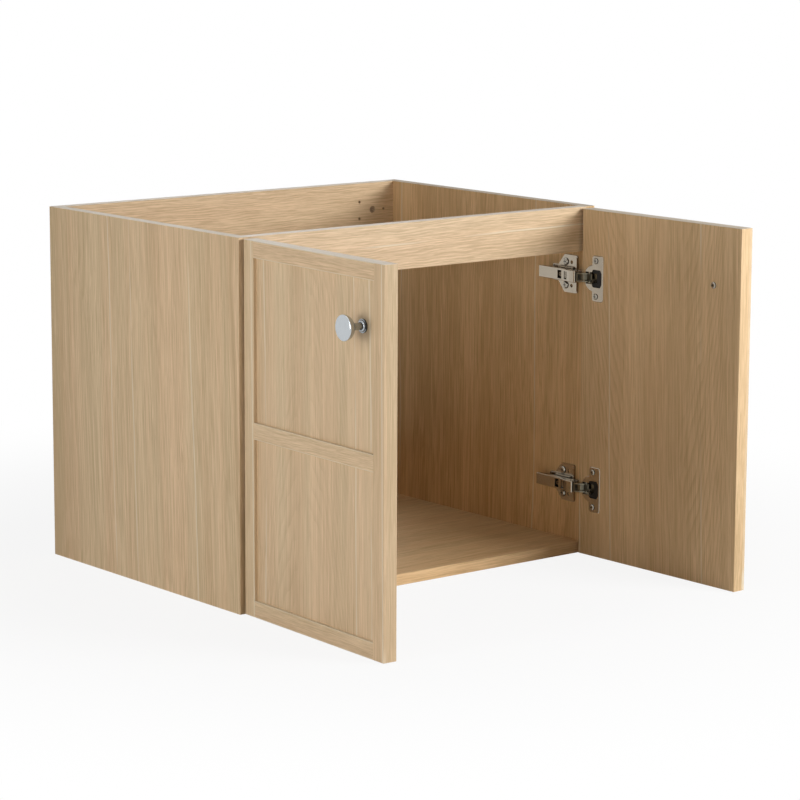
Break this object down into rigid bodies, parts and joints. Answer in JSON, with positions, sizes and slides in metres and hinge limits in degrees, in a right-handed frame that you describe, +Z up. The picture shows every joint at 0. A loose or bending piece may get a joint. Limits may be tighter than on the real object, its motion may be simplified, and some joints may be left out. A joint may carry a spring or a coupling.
{
  "type": "vanity base cabinet",
  "caption": "Open-topped bathroom vanity carcass in light oak boards, with framed doors on concealed cup hinges, round knobs and an open back for pipes.",
  "frame": {"origin": "centre of the carcass underside", "axes": "+Z up, +X to the viewer's right facing the doors, -Y towards the viewer, out of the front"},
  "size_m": [0.6457, 0.7268, 0.475],
  "materials": {
    "oak_board": "light oak wood-grain melamine, satin",
    "dowel": "plain beech dowel",
    "plated_steel": "nickel-plated pressed steel",
    "dark_link": "darker plated steel",
    "screw_steel": "bright zinc-plated steel",
    "knob_metal": "polished nickel",
    "insert_plastic": "black moulded plastic"
  },
  "bodies": {
    "carcass": {"left_side_panel": "oak_board", "right_side_panel": "oak_board", "bottom_panel": "oak_board", "front_top_rail": "oak_board", "back_top_rail": "oak_board", "back_bottom_rail": "oak_board", "panel_dowels": "dowel", "left_plate_screws": "screw_steel", "left_arm_pins": "plated_steel", "left_lower_hinge_plate": "plated_steel", "left_lower_hinge_arm": "plated_steel", "left_lower_arm_adjusters": "screw_steel", "left_upper_hinge_plate": "plated_steel", "left_upper_hinge_arm": "plated_steel", "left_upper_arm_adjusters": "screw_steel", "right_plate_screws": "screw_steel", "right_arm_pins": "plated_steel", "right_lower_hinge_plate": "plated_steel", "right_lower_hinge_arm": "plated_steel", "right_lower_arm_adjusters": "screw_steel", "right_upper_hinge_plate": "plated_steel", "right_upper_hinge_arm": "plated_steel", "right_upper_arm_adjusters": "screw_steel"},
    "left_outer_links": {"left_lower_outer_link": "dark_link", "left_upper_outer_link": "dark_link"},
    "left_inner_links": {"left_lower_inner_link": "plated_steel", "left_upper_inner_link": "plated_steel"},
    "left_door": {"left_door_board": "oak_board", "left_hinge_stile": "oak_board", "left_free_stile": "oak_board", "left_top_strip": "oak_board", "left_mid_strip": "oak_board", "left_bottom_strip": "oak_board", "left_knob": "knob_metal", "left_knob_screw": "screw_steel", "left_cup_pins": "plated_steel", "left_cup_screws": "screw_steel", "left_lower_hinge_cup": "plated_steel", "left_lower_cup_insert": "insert_plastic", "left_upper_hinge_cup": "plated_steel", "left_upper_cup_insert": "insert_plastic"},
    "right_outer_links": {"right_lower_outer_link": "dark_link", "right_upper_outer_link": "dark_link"},
    "right_inner_links": {"right_lower_inner_link": "plated_steel", "right_upper_inner_link": "plated_steel"},
    "right_door": {"right_door_board": "oak_board", "right_hinge_stile": "oak_board", "right_free_stile": "oak_board", "right_top_strip": "oak_board", "right_mid_strip": "oak_board", "right_bottom_strip": "oak_board", "right_knob": "knob_metal", "right_knob_screw": "screw_steel", "right_cup_pins": "plated_steel", "right_cup_screws": "screw_steel", "right_lower_hinge_cup": "plated_steel", "right_lower_cup_insert": "insert_plastic", "right_upper_hinge_cup": "plated_steel", "right_upper_cup_insert": "insert_plastic"}
  },
  "joints": [
    {"name": "left_outer_link_hinge", "type": "hinge", "parent": "carcass", "child": "left_outer_links", "pos_m": [-0.2635, -0.21091, 0.237], "axis": [0, 0, 1], "range_deg": [-37.16, 1.05]},
    {"name": "left_door_hinge", "type": "hinge", "parent": "left_outer_links", "child": "left_door", "pos_m": [-0.27357, -0.22992, 0.237], "axis": [0, 0, 1], "range_deg": [-3.5, 129.61]},
    {"name": "left_inner_link_hinge", "type": "hinge", "parent": "carcass", "child": "left_inner_links", "pos_m": [-0.272, -0.2109, 0.237], "axis": [0, 0, 1], "range_deg": [-20.66, 0.61]},
    {"name": "right_outer_link_hinge", "type": "hinge", "parent": "carcass", "child": "right_outer_links", "pos_m": [0.2635, -0.21091, 0.237], "axis": [0, 0, -1], "range_deg": [-36.56, 1.66]},
    {"name": "right_door_hinge", "type": "hinge", "parent": "right_outer_links", "child": "right_door", "pos_m": [0.27376, -0.22982, 0.237], "axis": [0, 0, -1], "range_deg": [-5.61, 127.51]},
    {"name": "right_inner_link_hinge", "type": "hinge", "parent": "carcass", "child": "right_inner_links", "pos_m": [0.272, -0.2109, 0.237], "axis": [0, 0, -1], "range_deg": [-20.33, 0.94]}
  ],
  "couplings": [
    {"joint": "left_outer_link_hinge", "follows": "left_door_hinge", "ratio": -0.28632},
    {"joint": "left_inner_link_hinge", "follows": "left_door_hinge", "ratio": -0.15904},
    {"joint": "right_outer_link_hinge", "follows": "right_door_hinge", "ratio": -0.28632},
    {"joint": "right_inner_link_hinge", "follows": "right_door_hinge", "ratio": -0.15904}
  ]
}
